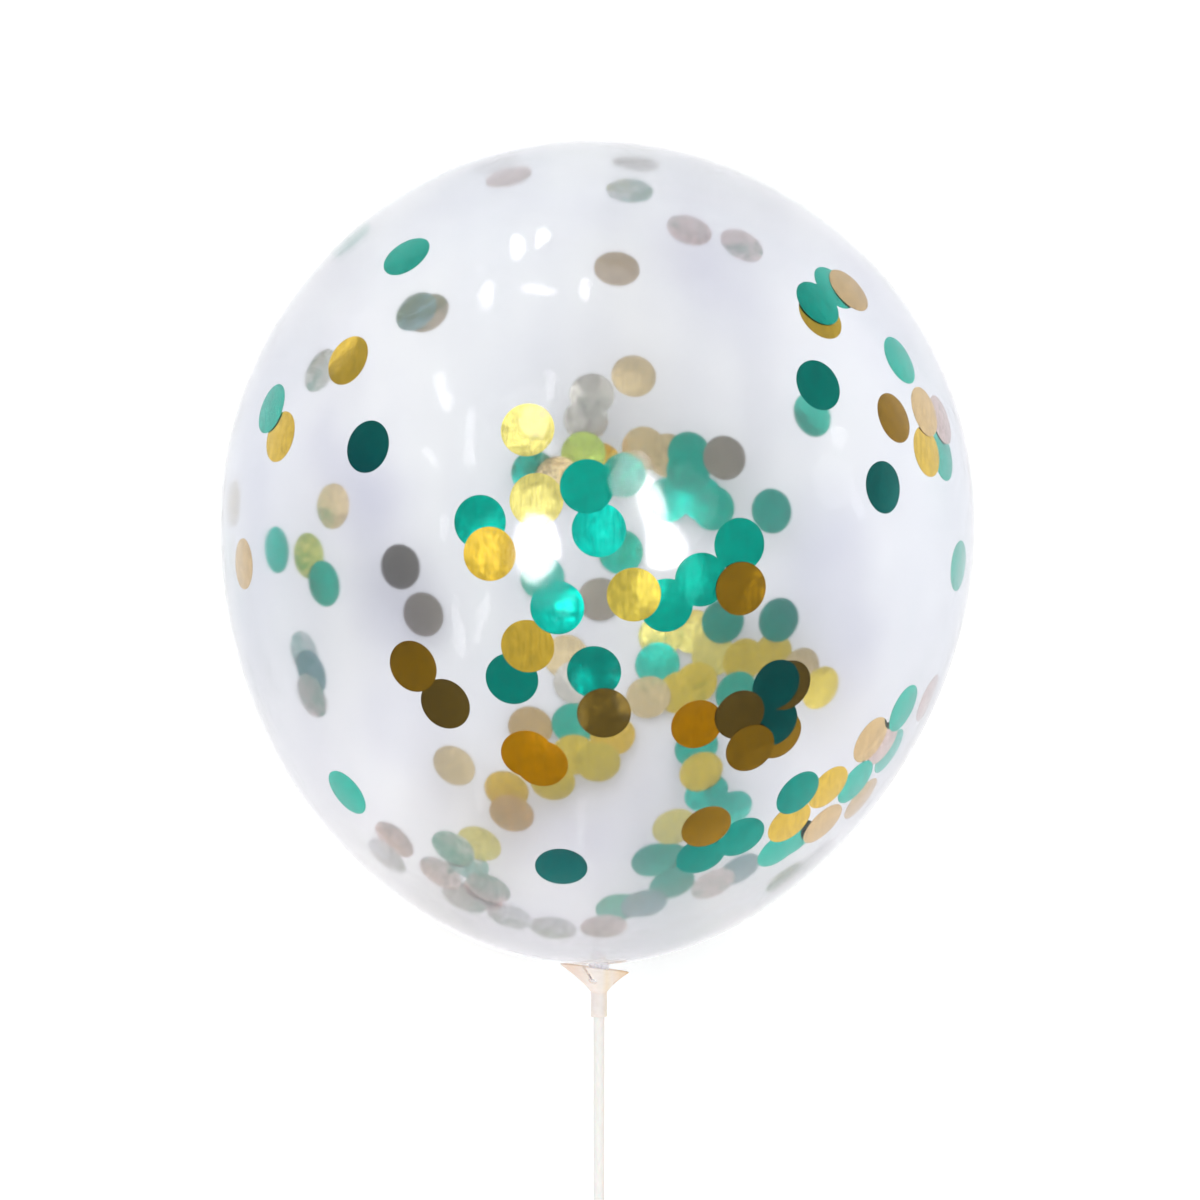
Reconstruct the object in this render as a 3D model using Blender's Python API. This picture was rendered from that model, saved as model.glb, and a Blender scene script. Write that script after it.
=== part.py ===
"""A clear latex balloon on a hollow plastic stick, joined by a soft slotted cup. It lies on a flat surface.

Every piece is modelled round one axis: local +Z runs from the stick to the crown, local -Y is the side that
faces up, and the origin is the centre of the widest ring. One empty then lays the whole thing down, so that
the belly rests on a small flat spot and the far end of the stick touches the same surface.
"""

import math

import bmesh
import bpy
import numpy as np
from mathutils import Vector

# Balloon, in metres
BALLOON_RADIUS = 0.1525
CROWN_HEIGHT = 0.1555
BASE_DEPTH = 0.178
PEAR_SHARE = 0.06
BELLY_SHIFT = 0.0006
CROWN_LEAN = 0.0024
BASE_LEAN = 0.0034
LEAN_FADE_RADIUS = 0.024
FLAT_DEPTH = 0.002
NECK_RADIUS = 0.0042
NECK_FILLET = 0.0012
KNOT_BULGE = 0.0007
KNOT_HALF_HEIGHT = 0.0021
KNOT_GAP = 0.0004
TAIL_GAP = 0.0004

# Cup, in metres and degrees
CUP_DEPTH = 0.0092
CUP_RIM_RADIUS = 0.0138
CUP_WALL = 0.0009
FLARE_SLOPE = 0.78
RIM_TIP_DEG = 6.7
RIM_NOD_DEG = 4.0
RIM_SHIFT = 0.0016
RIM_GAP = 0.0004
FLOOR_THICKNESS = 0.0012
SOCKET_LENGTH = 0.010
SOCKET_WALL = 0.0007
SLOT_COUNT = 4
FIRST_SLOT_DEG = -17.0
SLOT_WIDTH = 0.0013
KEYHOLE_RADIUS = 0.0017
KEYHOLE_HEIGHT = 0.0045

# Stick, in metres
STICK_LENGTH = 0.400
STICK_RADIUS = 0.00225
STICK_WALL = 0.0008
STICK_CLEARANCE = 0.0003

# How finely the round pieces are cut
BALLOON_SEGMENTS = 64
CROWN_STEPS = 18
BASE_STEPS = 22
CUP_SEGMENTS = 48
CUP_STEPS = 8
STICK_SEGMENTS = 24
FILLET_STEPS = 3
KNOT_STEPS = 6
RIM_STEPS = 3
KEYHOLE_STEPS = 14
SMOOTH_BELOW_DEG = 40.0
WELD = 1e-7
HALVINGS = 50

KNOT_RADIUS = NECK_RADIUS + KNOT_BULGE
SOCKET_BORE_RADIUS = STICK_RADIUS + STICK_CLEARANCE
SOCKET_RADIUS = SOCKET_BORE_RADIUS + SOCKET_WALL


def clear_scene():
    for item in list(bpy.data.objects):
        bpy.data.objects.remove(item)


def surface_material(name, colour, roughness, metallic=0.0, alpha=1.0):
    made = bpy.data.materials.new(name)
    made.use_nodes = True
    shader = made.node_tree.nodes["Principled BSDF"]
    shader.inputs["Base Color"].default_value = (*colour, 1.0)
    shader.inputs["Roughness"].default_value = roughness
    shader.inputs["Metallic"].default_value = metallic
    shader.inputs["Alpha"].default_value = alpha
    made.diffuse_color = (*colour, alpha)
    return made


def angles_between(start, end, steps):
    return [start + (end - start) * step / steps for step in range(steps + 1)]


def last_where(test, low, high):
    """The highest value for which the test holds, found by halving."""
    for _ in range(HALVINGS):
        middle = (low + high) / 2
        if test(middle):
            low = middle
        else:
            high = middle
    return low


def object_from(bm, name, material):
    """A shaded object from a bmesh, with its faces pointing out."""
    bmesh.ops.recalc_face_normals(bm, faces=bm.faces)
    mesh = bpy.data.meshes.new(name)
    bm.to_mesh(mesh)
    bm.free()
    mesh.materials.append(material)
    mesh.shade_smooth()
    mesh.set_sharp_from_angle(angle=math.radians(SMOOTH_BELOW_DEG))
    made = bpy.data.objects.new(name, mesh)
    bpy.context.scene.collection.objects.link(made)
    return made


def turned(section, segments, closed):
    """A bmesh turned round the Z axis from (radius, height) points."""
    bm = bmesh.new()
    points = [bm.verts.new((radius, 0.0, height)) for radius, height in section]
    pairs = list(zip(points, points[1:]))
    if closed:
        pairs.append((points[-1], points[0]))
    edges = [bm.edges.new(pair) for pair in pairs]
    bmesh.ops.spin(
        bm,
        geom=points + edges,
        axis=(0.0, 0.0, 1.0),
        cent=(0.0, 0.0, 0.0),
        angle=2 * math.pi,
        steps=segments,
        use_merge=True,
    )
    bmesh.ops.remove_doubles(bm, verts=bm.verts, dist=WELD)
    return bm


# The balloon's outline


def base_point(angle):
    """(radius, height) on the lower half, from 0 at the widest ring to a right angle at its foot."""
    sine = math.sin(angle)
    radius = BALLOON_RADIUS * math.cos(angle) * (1 - PEAR_SHARE * sine * sine)
    return radius, -BASE_DEPTH * sine


def fillet_start_angle():
    """Where the lower half has come in to the outer edge of the neck's fillet."""
    edge = NECK_RADIUS + NECK_FILLET
    return last_where(lambda angle: base_point(angle)[0] > edge, 0.0, math.pi / 2)


def belly_section():
    """(radius, height) points from the crown down to the neck's fillet."""
    crown = [
        (BALLOON_RADIUS * math.sin(angle), CROWN_HEIGHT * math.cos(angle))
        for angle in angles_between(0.0, math.pi / 2, CROWN_STEPS)
    ]
    base = [base_point(angle) for angle in angles_between(0.0, fillet_start_angle(), BASE_STEPS)]
    crown[0] = (0.0, CROWN_HEIGHT)
    return crown + base[1:]


def lean_at(radius, height):
    """How far the belly stands to -X of the stick's axis. It fades out at the neck."""
    if height >= 0:
        return BELLY_SHIFT + CROWN_LEAN * (height / CROWN_HEIGHT) ** 4
    lean = BELLY_SHIFT + BASE_LEAN * math.sin(math.pi / 2 * height / BASE_DEPTH) ** 2
    fade = (radius - NECK_RADIUS) / (LEAN_FADE_RADIUS - NECK_RADIUS)
    return lean * min(1.0, max(0.0, fade))


def underside_height(x, y):
    """Height of the balloon's underside near its foot, above the point (x, y)."""
    section = belly_section()[CROWN_STEPS:][::-1]
    radii = [radius for radius, _ in section]
    heights = [height for _, height in section]
    lean = lean_at(math.hypot(x, y), -BASE_DEPTH)
    return float(np.interp(math.hypot(x + lean, y), radii, heights))


# How the balloon lies


def depth_of_belly(tilt):
    """How far the uncut belly reaches below the centre of the widest ring, at this tilt."""
    return max(
        radius * math.cos(tilt) - height * math.sin(tilt) for radius, height in belly_section()
    )


def lying_tilt():
    """The angle between the axis and the surface, where the flat spot and the stick's end both touch."""
    reach = STICK_LENGTH - stick_top_height()

    def end_is_above_surface(tilt):
        room = depth_of_belly(tilt) - FLAT_DEPTH - STICK_RADIUS * math.cos(tilt)
        return room > reach * math.sin(tilt)

    return last_where(end_is_above_surface, 0.0, math.pi / 2)


# The cup's shape


def flare_curve():
    return (CUP_RIM_RADIUS - SOCKET_RADIUS - FLARE_SLOPE * CUP_DEPTH) / CUP_DEPTH**2


def flare_radius(height):
    """Outer radius of the cup at a height above its socket."""
    return SOCKET_RADIUS + FLARE_SLOPE * height + flare_curve() * height * height


def flare_along(height):
    """(radius, height) parts of the direction up the cup's wall."""
    slope = FLARE_SLOPE + 2 * flare_curve() * height
    return Vector((slope, 1.0)).normalized()


def flare_out(height):
    """(radius, height) parts of the direction straight out of the cup's wall."""
    along = flare_along(height)
    return Vector((along.y, -along.x))


def inner_point(height):
    """The point of the inner wall behind the outer wall's point at a height."""
    return Vector((flare_radius(height), height)) - CUP_WALL * flare_out(height)


def inner_wall():
    steps = range(CUP_STEPS + 1)
    return [tuple(inner_point(CUP_DEPTH * step / CUP_STEPS)) for step in steps]


def rim_points():
    """The rounded edge, from the outer wall to the inner wall."""
    outer = Vector((flare_radius(CUP_DEPTH), CUP_DEPTH))
    inner = inner_point(CUP_DEPTH)
    middle = (outer + inner) / 2
    side = (outer - inner) / 2
    over = Vector((-side.y, side.x))
    return [
        tuple(middle + side * math.cos(angle) + over * math.sin(angle))
        for angle in angles_between(0.0, math.pi, RIM_STEPS)
    ]


def skewed(x, y, height):
    """The soft cup's head is tipped, nodded and pushed to -X, more towards its rim."""
    share = max(0.0, height / CUP_DEPTH)
    tip = math.radians(RIM_TIP_DEG) * share
    nod = math.radians(RIM_NOD_DEG) * share
    return (
        x * math.cos(tip) - RIM_SHIFT * share * share,
        y * math.cos(nod),
        height - x * math.sin(tip) - y * math.sin(nod),
    )


def cup_section():
    """(radius, height) points of the cup, from the socket's ceiling round to the floor of the funnel."""
    heights = [CUP_DEPTH * step / CUP_STEPS for step in range(CUP_STEPS)]
    outer = [(flare_radius(height), height) for height in heights]
    inner = inner_wall()[:-1][::-1]
    socket = [
        (0.0, socket_ceiling_height()),
        (SOCKET_BORE_RADIUS, socket_ceiling_height()),
        (SOCKET_BORE_RADIUS, -SOCKET_LENGTH),
        (SOCKET_RADIUS, -SOCKET_LENGTH),
    ]
    return socket + outer + rim_points() + inner + [(0.0, cup_floor_height())]


def cup_floor_height():
    """Height of the funnel's floor above the top of the socket."""
    return inner_point(0.0).y


def socket_ceiling_height():
    return cup_floor_height() - FLOOR_THICKNESS


def cup_height():
    """Height of the top of the socket, which brings the rim RIM_GAP below the balloon."""
    room = []
    for radius, height in rim_points():
        for angle in angles_between(0.0, 2 * math.pi, CUP_SEGMENTS):
            x, y, z = skewed(radius * math.cos(angle), radius * math.sin(angle), height)
            room.append(underside_height(x, y) - z)
    return min(room) - RIM_GAP


def stick_top_height():
    return cup_height() + socket_ceiling_height() - STICK_CLEARANCE


# The knot and tail in the cup


def tail_radius():
    return inner_point(0.0).x - TAIL_GAP


def knot_points(middle):
    """(radius, height) points down the knot, from the neck to the tail."""
    top = math.acos(NECK_RADIUS / KNOT_RADIUS)
    foot = -math.acos(tail_radius() / KNOT_RADIUS)
    return [
        (KNOT_RADIUS * math.cos(angle), middle + KNOT_HALF_HEIGHT * math.sin(angle))
        for angle in angles_between(top, foot, KNOT_STEPS)
    ]


def knot_height():
    """Height of the knot's middle above the socket, where it hangs KNOT_GAP clear of the funnel."""
    radii, heights = zip(*inner_wall())

    def touches(middle):
        return any(
            np.interp(height, heights, radii) < radius + KNOT_GAP
            for radius, height in knot_points(middle)
        )

    return last_where(touches, 0.0, CUP_DEPTH)


def neck_section():
    """(radius, height) points of the fillet, neck, knot and tail, down to the axis."""
    foot = -BASE_DEPTH * math.sin(fillet_start_angle())
    fillet = [
        (
            NECK_RADIUS + NECK_FILLET * (1 - math.sin(angle)),
            foot - NECK_FILLET * (1 - math.cos(angle)),
        )
        for angle in angles_between(0.0, math.pi / 2, FILLET_STEPS)
    ]
    tail_end = cup_height() + cup_floor_height() + TAIL_GAP
    knot = knot_points(cup_height() + knot_height())
    return fillet[1:] + knot + [(tail_radius(), tail_end), (0.0, tail_end)]


# The pieces


def make_balloon(tilt):
    """The latex with its neck and knot. It is sealed, so it is one solid."""
    bm = turned(belly_section() + neck_section(), BALLOON_SEGMENTS, closed=False)
    for vert in bm.verts:
        vert.co.x -= lean_at(math.hypot(vert.co.x, vert.co.y), vert.co.z)
    down = Vector((0.0, math.cos(tilt), -math.sin(tilt)))
    bmesh.ops.bisect_plane(
        bm,
        geom=bm.verts[:] + bm.edges[:] + bm.faces[:],
        dist=WELD,
        plane_co=down * (depth_of_belly(tilt) - FLAT_DEPTH),
        plane_no=down,
        clear_outer=True,
    )
    bmesh.ops.holes_fill(bm, edges=[edge for edge in bm.edges if edge.is_boundary])
    latex = surface_material("clear_latex", (0.90, 0.91, 0.96), 0.12, alpha=0.35)
    return object_from(bm, "balloon", latex)


def keyhole_outline():
    """(across, along) points of a round hole with a slit that runs from it past the rim."""
    half = SLOT_WIDTH / 2
    gap = math.asin(half / KEYHOLE_RADIUS)
    outline = [
        (KEYHOLE_RADIUS * math.sin(angle), KEYHOLE_RADIUS * math.cos(angle))
        for angle in angles_between(gap, 2 * math.pi - gap, KEYHOLE_STEPS)
    ]
    past_rim = CUP_RIM_RADIUS
    return outline + [(-half, past_rim), (half, past_rim)]


def keyhole_cutter(number, cup):
    """A keyhole slot through the cup's wall, square to the wall at the round hole."""
    centre = Vector((flare_radius(KEYHOLE_HEIGHT), KEYHOLE_HEIGHT))
    along = flare_along(KEYHOLE_HEIGHT)
    out = flare_out(KEYHOLE_HEIGHT)
    turn = math.radians(FIRST_SLOT_DEG) + 2 * math.pi * number / SLOT_COUNT
    bm = bmesh.new()
    rings = []
    for depth in (-2.5 * CUP_WALL, 2.0 * CUP_WALL):
        ring = []
        for across, rise in keyhole_outline():
            radius, height = centre + rise * along + depth * out
            x = across * math.cos(turn) + radius * math.sin(turn)
            y = across * math.sin(turn) - radius * math.cos(turn)
            ring.append(bm.verts.new(skewed(x, y, height)))
        rings.append(ring)
    bm.faces.new(rings[0])
    bm.faces.new(rings[1])
    for edge in range(len(rings[0])):
        inner, outer = rings
        bm.faces.new((inner[edge - 1], inner[edge], outer[edge], outer[edge - 1]))
    bmesh.ops.triangulate(bm, faces=bm.faces)
    cutter = object_from(bm, f"slot_cutter_{number}", cup.data.materials[0])
    cutter.parent = cup
    cutter.hide_render = True
    cutter.display_type = "WIRE"
    cut = cup.modifiers.new(f"slot_{number}", "BOOLEAN")
    cut.operation = "DIFFERENCE"
    cut.object = cutter


def make_cup():
    """The soft cup that holds the neck, with the socket for the stick below it."""
    bm = turned(cup_section(), CUP_SEGMENTS, closed=False)
    for vert in bm.verts:
        vert.co = skewed(*vert.co)
    plastic = surface_material("blush_plastic", (0.90, 0.78, 0.70), 0.38)
    cup = object_from(bm, "cup", plastic)
    cup.location.z = cup_height()
    for number in range(SLOT_COUNT):
        keyhole_cutter(number, cup)
    return cup


def make_stick():
    """The hollow stick, pushed up into the socket."""
    bore = STICK_RADIUS - STICK_WALL
    section = [
        (bore, 0.0),
        (STICK_RADIUS, 0.0),
        (STICK_RADIUS, -STICK_LENGTH),
        (bore, -STICK_LENGTH),
    ]
    plastic = surface_material("white_plastic", (0.86, 0.86, 0.83), 0.35)
    stick = object_from(turned(section, STICK_SEGMENTS, closed=True), "stick", plastic)
    stick.location.z = stick_top_height()
    return stick


def corners_of(pieces):
    """Lowest and highest corner of the pieces in world space."""
    graph = bpy.context.evaluated_depsgraph_get()
    found = []
    for piece in pieces:
        shown = piece.evaluated_get(graph)
        found += [shown.matrix_world @ vert.co for vert in shown.data.vertices]
    return [Vector(limit(point[axis] for point in found) for axis in range(3)) for limit in (min, max)]


def main():
    clear_scene()
    tilt = lying_tilt()
    pose = bpy.data.objects.new("lying_pose", None)
    bpy.context.scene.collection.objects.link(pose)
    pieces = [make_balloon(tilt), make_cup(), make_stick()]
    for piece in pieces:
        piece.parent = pose
    pose.rotation_euler.x = tilt - math.pi / 2
    pose.location.z = depth_of_belly(tilt) - FLAT_DEPTH
    bpy.context.view_layer.update()
    low, high = corners_of(pieces)
    pose.location.x -= (low.x + high.x) / 2
    pose.location.y -= (low.y + high.y) / 2
    bpy.context.view_layer.update()


main()
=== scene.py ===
"""Looks of a clear confetti balloon on its stick, which lies on a pale floor and is seen from above."""

import math
import random

import bmesh
import bpy
from mathutils import Matrix, Vector
from mathutils.bvhtree import BVHTree


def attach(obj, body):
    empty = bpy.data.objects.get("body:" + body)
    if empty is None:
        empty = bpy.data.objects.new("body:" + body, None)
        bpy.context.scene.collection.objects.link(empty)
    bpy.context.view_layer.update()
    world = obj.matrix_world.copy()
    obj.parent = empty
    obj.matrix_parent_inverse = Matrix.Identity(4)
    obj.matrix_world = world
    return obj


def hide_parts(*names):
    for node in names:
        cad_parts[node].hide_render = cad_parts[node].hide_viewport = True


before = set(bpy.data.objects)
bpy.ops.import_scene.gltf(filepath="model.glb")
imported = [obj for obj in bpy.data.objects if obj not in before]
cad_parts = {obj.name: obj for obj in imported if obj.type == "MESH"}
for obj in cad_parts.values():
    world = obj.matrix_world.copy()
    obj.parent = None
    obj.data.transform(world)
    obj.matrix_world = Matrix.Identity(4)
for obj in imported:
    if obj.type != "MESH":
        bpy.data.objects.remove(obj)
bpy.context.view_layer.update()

# Sizes of the real thing, in metres, with degrees, counts and shares. Names that the CAD model has too
# have the same values there.
BALLOON_RADIUS = 0.1525
CROWN_HEIGHT = 0.1555
BASE_DEPTH = 0.178
PEAR_SHARE = 0.06
BELLY_SHIFT = 0.0006
CROWN_LEAN = 0.0024
BASE_LEAN = 0.0034
LEAN_FADE_RADIUS = 0.024
LEAN_POWER = 4
NECK_RADIUS = 0.0042
NECK_FILLET = 0.0012
PLEAT_COUNT = 14
PLEAT_DEPTH = 0.00022
PLEAT_REACH = 0.006
KNOT_BULGE = 0.0007
KNOT_HALF_HEIGHT = 0.0021
KNOT_HEIGHT = 0.0040
KNOT_TOP_DEG = 60
KNOT_ARC_DEG = 125
TAIL_RADIUS = 0.0021
TAIL_END_HEIGHT = 0.00095
PLUG_HEIGHT = 0.0048
TAIL_LIP = 0.0004
LIP_PLACE = 0.85
LIP_SPREAD = 0.12
FOLD_COUNT = 9
FOLD_TWIST = 2.2
FOLD_SHARE = 0.07
SOCKET_LENGTH = 0.010
SKIN_WALL = 0.0003
FLAT_SPOT_EASE = 0.0005
DISC_RADIUS = 0.010
DISC_THICKNESS = 0.00012

WHITE = (1.0, 1.0, 1.0)

# Colours along the latex from its foot to its crown, and across the latex, the cup and the stick from
# left to right, as stops: share of the way and colour. Besides each thing's own tint they hold painted
# light and shade: lighter and darker bands on the latex, a lighter middle and darker, warmer sides on the
# cup and a darker, warmer right side on the stick. A reach is how far to each side of the axis the cup's
# and the stick's stops go, in metres.
CUP_TINT_REACH = 0.012
STICK_TINT_REACH = 0.0022
LATEX_TINT_AND_SHADE_ALONG = (
    (0.0, (0.965, 0.955, 0.98)),
    (0.12, (0.975, 0.97, 0.985)),
    (0.4, (0.93, 0.935, 0.948)),
    (0.8, (0.93, 0.936, 0.951)),
    (0.9, (0.91, 0.918, 0.94)),
    (1.0, (0.94, 0.952, 0.98)),
)
LATEX_TINT_AND_SHADE_ACROSS = (
    (0.0, (0.94, 0.95, 0.97)),
    (0.15, (0.955, 0.955, 0.955)),
    (0.22, (0.988, 0.99, 0.985)),
    (0.28, (0.97, 0.973, 0.968)),
    (0.36, (0.96, 0.965, 0.962)),
    (0.55, (0.945, 0.947, 0.94)),
    (0.7, (0.95, 0.952, 0.95)),
    (0.85, (0.99, 0.992, 0.997)),
    (1.0, (0.94, 0.95, 0.97)),
)
CUP_TINT_AND_SHADE = (
    (0.0, (0.93, 0.66, 0.54)),
    (0.25, (0.95, 0.76, 0.67)),
    (0.4, (0.97, 0.84, 0.78)),
    (0.55, (0.97, 0.84, 0.77)),
    (0.63, (0.94, 0.76, 0.60)),
    (0.72, (0.96, 0.79, 0.69)),
    (0.86, (0.93, 0.67, 0.48)),
    (1.0, (0.86, 0.54, 0.30)),
)
STICK_TINT_AND_SHADE = (
    (0.0, (0.86, 0.84, 0.81)),
    (0.6, (0.86, 0.84, 0.81)),
    (1.0, (0.84, 0.77, 0.72)),
)

# Factors on the three axes that draw noise out along the object
LENGTHWISE = (4.0, 0.5, 0.5)

# The clear latex's index of refraction, chosen for looks. Real latex has about 1.5.
LATEX_IOR = 1.13

# Share of light that the latex scatters, from the foot of the balloon, at 0, to its crown, at 1
LATEX_HAZE = ((0.0, 0.26), (0.12, 0.17), (0.24, 0.08), (0.62, 0.06), (0.86, 0.14), (1.0, 0.22))

# How the photograph was framed: its side and the balloon's place and width in it, in pixels
PHOTO_SIDE = 1200
BALLOON_PIXEL = (597.5, 525.0)
BALLOON_PIXELS_WIDE = 755
CAMERA_DISTANCE = 1.5
SENSOR_WIDTH = 36.0
CLIP_RANGE = (0.05, 50.0)

# How finely the round pieces are cut
SKIN_SEGMENTS = 160
CROWN_RINGS = 56
BASE_RINGS = 60
FILLET_RINGS = 4
NECK_RINGS = 6
DISC_SEGMENTS = 36
DISC_RINGS = 3
KNOT_SEGMENTS = 72
KNOT_RINGS = 10
FLOOR_SEGMENTS = 12
SMOOTH_BELOW_DEG = 40.0
HALVINGS = 50

# The wall that faces the camera and the wall behind it, in the order in which a ray meets them, and how
# far past the first one the ray starts again, in metres
NEAR, FAR = 0, 1
RAY_RESTART = 0.001

# Foil discs on the wall that faces the camera, outermost first: foil and the pixel where its middle shows
NEAR_DISCS = (
    ("lit_gold", 527, 429), ("teal", 587, 486), ("lit_teal", 599, 530), ("lit_gold", 536, 500),
    ("gold", 489, 554), ("teal", 479, 522), ("lit_teal", 557, 608), ("straw", 634, 595),
    ("gold", 527, 647), ("shaded_teal", 511, 680), ("deep_shaded_gold", 604, 714), ("shaded_teal", 594, 673),
    ("shaded_gold", 412, 667), ("deep_shaded_gold", 444, 705), ("amber", 527, 755), ("amber", 541, 765),
    ("shaded_gold", 742, 589), ("teal", 702, 580), ("teal", 741, 545), ("teal", 667, 606),
    ("shaded_gold", 751, 749), ("deep_shaded_gold", 741, 716), ("amber", 698, 726), ("darkest_shaded_teal", 778, 686),
    ("deep_shaded_gold", 790, 687), ("darkest_shaded_teal", 777, 725), ("shaded_gold", 782, 738), ("shaded_gold", 707, 828),
    ("shaded_teal", 742, 839), ("shaded_teal", 702, 858), ("shaded_teal", 799, 794), ("gold", 830, 789),
    ("gold", 791, 824), ("teal", 781, 851), ("peach", 824, 825), ("teal", 796, 842),
    ("teal", 858, 784), ("peach", 864, 801), ("teal", 905, 709), ("peach", 874, 742),
    ("rose", 887, 745), ("teal", 894, 754), ("rose", 930, 699), ("deep_shaded_teal", 561, 869),
    ("teal", 345, 794), ("peach", 241, 564), ("deep_shaded_teal", 366, 446), ("gold", 346, 359),
    ("teal", 270, 408), ("gold", 278, 436), ("teal", 405, 254), ("teal", 819, 302),
    ("gold", 822, 315), ("peach", 850, 289), ("teal", 836, 286), ("shaded_teal", 820, 384),
    ("teal", 902, 359), ("shaded_gold", 896, 417), ("deep_shaded_teal", 886, 487), ("peach", 926, 411),
    ("gold", 929, 451), ("rose", 943, 419), ("teal", 946, 455), ("teal", 961, 566),
)

# Foil discs on the wall behind, outermost first
FAR_DISCS = (
    ("haze_whitened_foil", 636, 160), ("haze_whitened_foil", 496, 161), ("blush", 508, 174), ("haze_whitened_foil", 630, 188),
    ("blush", 690, 228), ("blush", 743, 243), ("tan", 617, 267), ("teal", 350, 238),
    ("tan", 427, 312), ("hazed_teal", 415, 310), ("silver", 318, 369), ("cream", 634, 375),
    ("half_shaded_silver", 592, 394), ("half_shaded_silver", 586, 419), ("gold", 599, 464), ("gold_glint", 583, 453),
    ("lit_teal", 533, 472), ("cream", 557, 478), ("cream", 644, 448), ("cream", 668, 455),
    ("teal", 690, 453), ("lit_teal", 624, 475), ("lit_teal", 668, 500), ("lit_teal", 702, 498),
    ("teal", 714, 508), ("teal", 689, 471), ("shaded_silver", 726, 457), ("teal", 773, 511),
    ("teal", 814, 414), ("lit_teal", 542, 578), ("lit_teal", 621, 552), ("shaded_silver", 600, 600),
    ("cream", 331, 506), ("lit_teal", 274, 550), ("lit_gold", 307, 556), ("teal", 322, 584),
    ("deep_shaded_silver", 399, 567), ("shaded_silver", 422, 615), ("haze_whitened_foil", 230, 503), ("haze_whitened_foil", 303, 654),
    ("hazed_teal", 309, 673), ("blush", 309, 697), ("lit_gold", 694, 632), ("lit_gold", 714, 656),
    ("honey", 745, 661), ("honey", 774, 656), ("cream", 803, 671), ("straw", 824, 690),
    ("shaded_teal", 724, 622), ("shaded_teal", 781, 621), ("lit_gold", 661, 636), ("lit_teal", 658, 665),
    ("honey", 680, 694), ("cream", 649, 699), ("honey", 697, 685), ("teal", 738, 694),
    ("teal", 697, 748), ("lit_teal", 707, 794), ("lit_teal", 732, 811), ("honey", 702, 773),
    ("lit_gold", 675, 828), ("cream", 566, 657), ("silver", 576, 683), ("peach", 530, 728),
    ("teal", 574, 725), ("gold", 613, 737), ("honey", 574, 757), ("straw", 598, 765),
    ("honey", 552, 784), ("gold", 506, 791), ("peach", 511, 815), ("cream", 453, 767),
    ("teal", 667, 862), ("shaded_teal", 673, 886), ("hazed_teal", 740, 871), ("blush", 714, 886),
    ("blush", 787, 879), ("haze_whitened_foil", 818, 859), ("teal", 619, 909), ("hazed_teal", 645, 907),
    ("teal", 655, 863), ("blush", 604, 929), ("haze_whitened_foil", 553, 930), ("haze_whitened_foil", 509, 919),
    ("blush", 479, 899), ("haze_whitened_foil", 462, 903), ("blush", 438, 877), ("haze_whitened_foil", 465, 867),
    ("lit_gold", 477, 848), ("silver", 450, 853), ("blush", 393, 841), ("haze_whitened_foil", 385, 858),
    ("blush", 486, 893),
)

# Foils by name: the colour family that they are cut from and the colour that each one mirrors. Besides
# plain teal, gold and silver backs, most are copies with painted light and shade in their colour: lit,
# shaded and deep shaded teal, gold and silver, a painted glint on gold, a straw gold in painted shade,
# and foils that painted haze light makes pale, such as cream, peach, rose, blush and tan.
FOILS = {
    "lit_teal": ("teal", (0.0, 0.76, 0.58)),
    "teal": ("teal", (0.0, 0.62, 0.45)),
    "shaded_teal": ("teal", (0.0, 0.40, 0.30)),
    "deep_shaded_teal": ("teal", (0.0, 0.21, 0.18)),
    "darkest_shaded_teal": ("teal", (0.0, 0.14, 0.12)),
    "hazed_teal": ("teal", (0.30, 0.48, 0.52)),
    "haze_whitened_foil": ("teal", (1.0, 0.98, 1.0)),
    "gold": ("gold", (0.98, 0.66, 0.07)),
    "honey": ("gold", (1.0, 0.76, 0.10)),
    "lit_gold": ("gold", (1.0, 0.88, 0.26)),
    "gold_glint": ("gold", (0.72, 0.95, 0.22)),
    "amber": ("gold", (0.88, 0.40, 0.0)),
    "straw": ("gold", (0.86, 0.68, 0.10)),
    "cream": ("gold", (1.0, 0.80, 0.44)),
    "peach": ("gold", (0.86, 0.60, 0.26)),
    "rose": ("gold", (0.86, 0.66, 0.58)),
    "blush": ("gold", (1.0, 0.79, 0.76)),
    "tan": ("gold", (0.52, 0.42, 0.30)),
    "shaded_gold": ("gold", (0.46, 0.25, 0.01)),
    "deep_shaded_gold": ("gold", (0.22, 0.14, 0.02)),
    "silver": ("gold", (0.88, 0.85, 0.76)),
    "half_shaded_silver": ("gold", (0.66, 0.64, 0.56)),
    "shaded_silver": ("gold", (0.46, 0.41, 0.33)),
    "deep_shaded_silver": ("gold", (0.26, 0.24, 0.20)),
}

# How the discs lie: layer spacing, and for one that lies alone or on others its tilt and its curl.
# A curl of 1 is the balloon's own curve. Each disc has two, at right angles.
SKIN_GAP = 0.00015
LAYER_STEP = 0.00032
LOOSE_TILT_DEG = 2.5
LOOSE_CURL = (0.2, 1.7)
STACKED_TILT_DEG = 0.7
STACKED_CURL = (0.8, 1.05)
DISC_SHADE = (0.9, 1.0)
DISC_SEED = 7

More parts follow.
